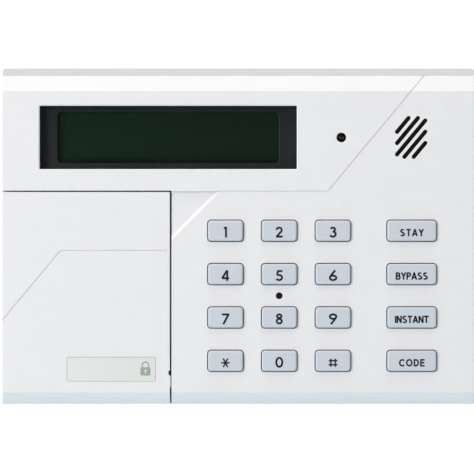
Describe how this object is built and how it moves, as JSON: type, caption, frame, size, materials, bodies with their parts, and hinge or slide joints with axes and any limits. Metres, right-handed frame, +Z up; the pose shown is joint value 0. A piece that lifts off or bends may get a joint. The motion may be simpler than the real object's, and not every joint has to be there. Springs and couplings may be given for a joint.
{
  "type": "alarm keypad panel",
  "caption": "Wall-mounted alarm keypad with an LCD window, push keys in four columns, a status LED, a slotted sounder grille and a drop-down door at the lower left.",
  "frame": {"origin": "centre of the flat back face that rests on the wall", "axes": "+Y into the wall, -Y towards the user, +X to the user's right, +Z up"},
  "size_m": [0.1994, 0.0314, 0.141],
  "materials": {
    "casing": "fine satin texture, white ABS",
    "tray": "satin, white ABS",
    "keycap": "smooth satin, pale blue-grey",
    "mat": "moulded silicone",
    "nameplate": "satin, clear lacquer",
    "card": "laminated paper",
    "clear_lens": "clear polished acrylic",
    "lcd_frame": "satin black",
    "lcd_glass": "dark green, polished",
    "circuit_board": "solder mask on glass-fibre board",
    "ribbon": "flat grey cable",
    "black_plastic": "moulded, satin",
    "led": "tinted epoxy",
    "steel": "zinc-plated",
    "connector": "natural nylon",
    "wire_red": "PVC sleeve",
    "wire_black": "PVC sleeve",
    "wire_green": "PVC sleeve",
    "wire_yellow": "PVC sleeve"
  },
  "bodies": {
    "case": {"rear_tray": "tray", "front_cover": "casing", "instruction_card": "card", "keypad_mat": "mat", "display_lens": "clear_lens", "lcd_frame": "lcd_frame", "lcd_glass": "lcd_glass", "lcd_board": "circuit_board", "lcd_ribbon_cable": "ribbon", "main_board": "circuit_board", "sounder": "black_plastic", "armed_led": "led", "led_spacer": "black_plastic", "microphone": "steel", "controller_chip": "black_plastic", "filter_capacitor": "black_plastic", "wire_header": "connector", "wire_plug": "connector", "wire_red": "wire_red", "wire_black": "wire_black", "wire_green": "wire_green", "wire_yellow": "wire_yellow", "board_screw_1": "steel", "board_screw_2": "steel", "board_screw_3": "steel", "board_screw_4": "steel", "board_screw_5": "steel", "board_screw_6": "steel", "lcd_screw_1": "steel", "lcd_screw_2": "steel", "lcd_screw_3": "steel", "lcd_screw_4": "steel"},
    "door": {"door_panel": "casing", "nameplate": "nameplate"},
    "key_1": {"key_1": "keycap"},
    "key_2": {"key_2": "keycap"},
    "key_3": {"key_3": "keycap"},
    "key_stay": {"key_stay": "keycap"},
    "key_4": {"key_4": "keycap"},
    "key_5": {"key_5": "keycap"},
    "key_6": {"key_6": "keycap"},
    "key_bypass": {"key_bypass": "keycap"},
    "key_7": {"key_7": "keycap"},
    "key_8": {"key_8": "keycap"},
    "key_9": {"key_9": "keycap"},
    "key_instant": {"key_instant": "keycap"},
    "key_star": {"key_star": "keycap"},
    "key_0": {"key_0": "keycap"},
    "key_hash": {"key_hash": "keycap"},
    "key_code": {"key_code": "keycap"}
  },
  "joints": [
    {"name": "door_hinge", "type": "hinge", "parent": "case", "child": "door", "pos_m": [-0.062, -0.025, -0.061], "axis": [1, 0, 0], "range_deg": [0, 105]},
    {"name": "key_1_press", "type": "slide", "parent": "case", "child": "key_1", "axis": [0, 1, 0], "range_m": [0, 0.0012]},
    {"name": "key_2_press", "type": "slide", "parent": "case", "child": "key_2", "axis": [0, 1, 0], "range_m": [0, 0.0012]},
    {"name": "key_3_press", "type": "slide", "parent": "case", "child": "key_3", "axis": [0, 1, 0], "range_m": [0, 0.0012]},
    {"name": "key_stay_press", "type": "slide", "parent": "case", "child": "key_stay", "axis": [0, 1, 0], "range_m": [0, 0.0012]},
    {"name": "key_4_press", "type": "slide", "parent": "case", "child": "key_4", "axis": [0, 1, 0], "range_m": [0, 0.0012]},
    {"name": "key_5_press", "type": "slide", "parent": "case", "child": "key_5", "axis": [0, 1, 0], "range_m": [0, 0.0012]},
    {"name": "key_6_press", "type": "slide", "parent": "case", "child": "key_6", "axis": [0, 1, 0], "range_m": [0, 0.0012]},
    {"name": "key_bypass_press", "type": "slide", "parent": "case", "child": "key_bypass", "axis": [0, 1, 0], "range_m": [0, 0.0012]},
    {"name": "key_7_press", "type": "slide", "parent": "case", "child": "key_7", "axis": [0, 1, 0], "range_m": [0, 0.0012]},
    {"name": "key_8_press", "type": "slide", "parent": "case", "child": "key_8", "axis": [0, 1, 0], "range_m": [0, 0.0012]},
    {"name": "key_9_press", "type": "slide", "parent": "case", "child": "key_9", "axis": [0, 1, 0], "range_m": [0, 0.0012]},
    {"name": "key_instant_press", "type": "slide", "parent": "case", "child": "key_instant", "axis": [0, 1, 0], "range_m": [0, 0.0012]},
    {"name": "key_star_press", "type": "slide", "parent": "case", "child": "key_star", "axis": [0, 1, 0], "range_m": [0, 0.0012]},
    {"name": "key_0_press", "type": "slide", "parent": "case", "child": "key_0", "axis": [0, 1, 0], "range_m": [0, 0.0012]},
    {"name": "key_hash_press", "type": "slide", "parent": "case", "child": "key_hash", "axis": [0, 1, 0], "range_m": [0, 0.0012]},
    {"name": "key_code_press", "type": "slide", "parent": "case", "child": "key_code", "axis": [0, 1, 0], "range_m": [0, 0.0012]}
  ]
}
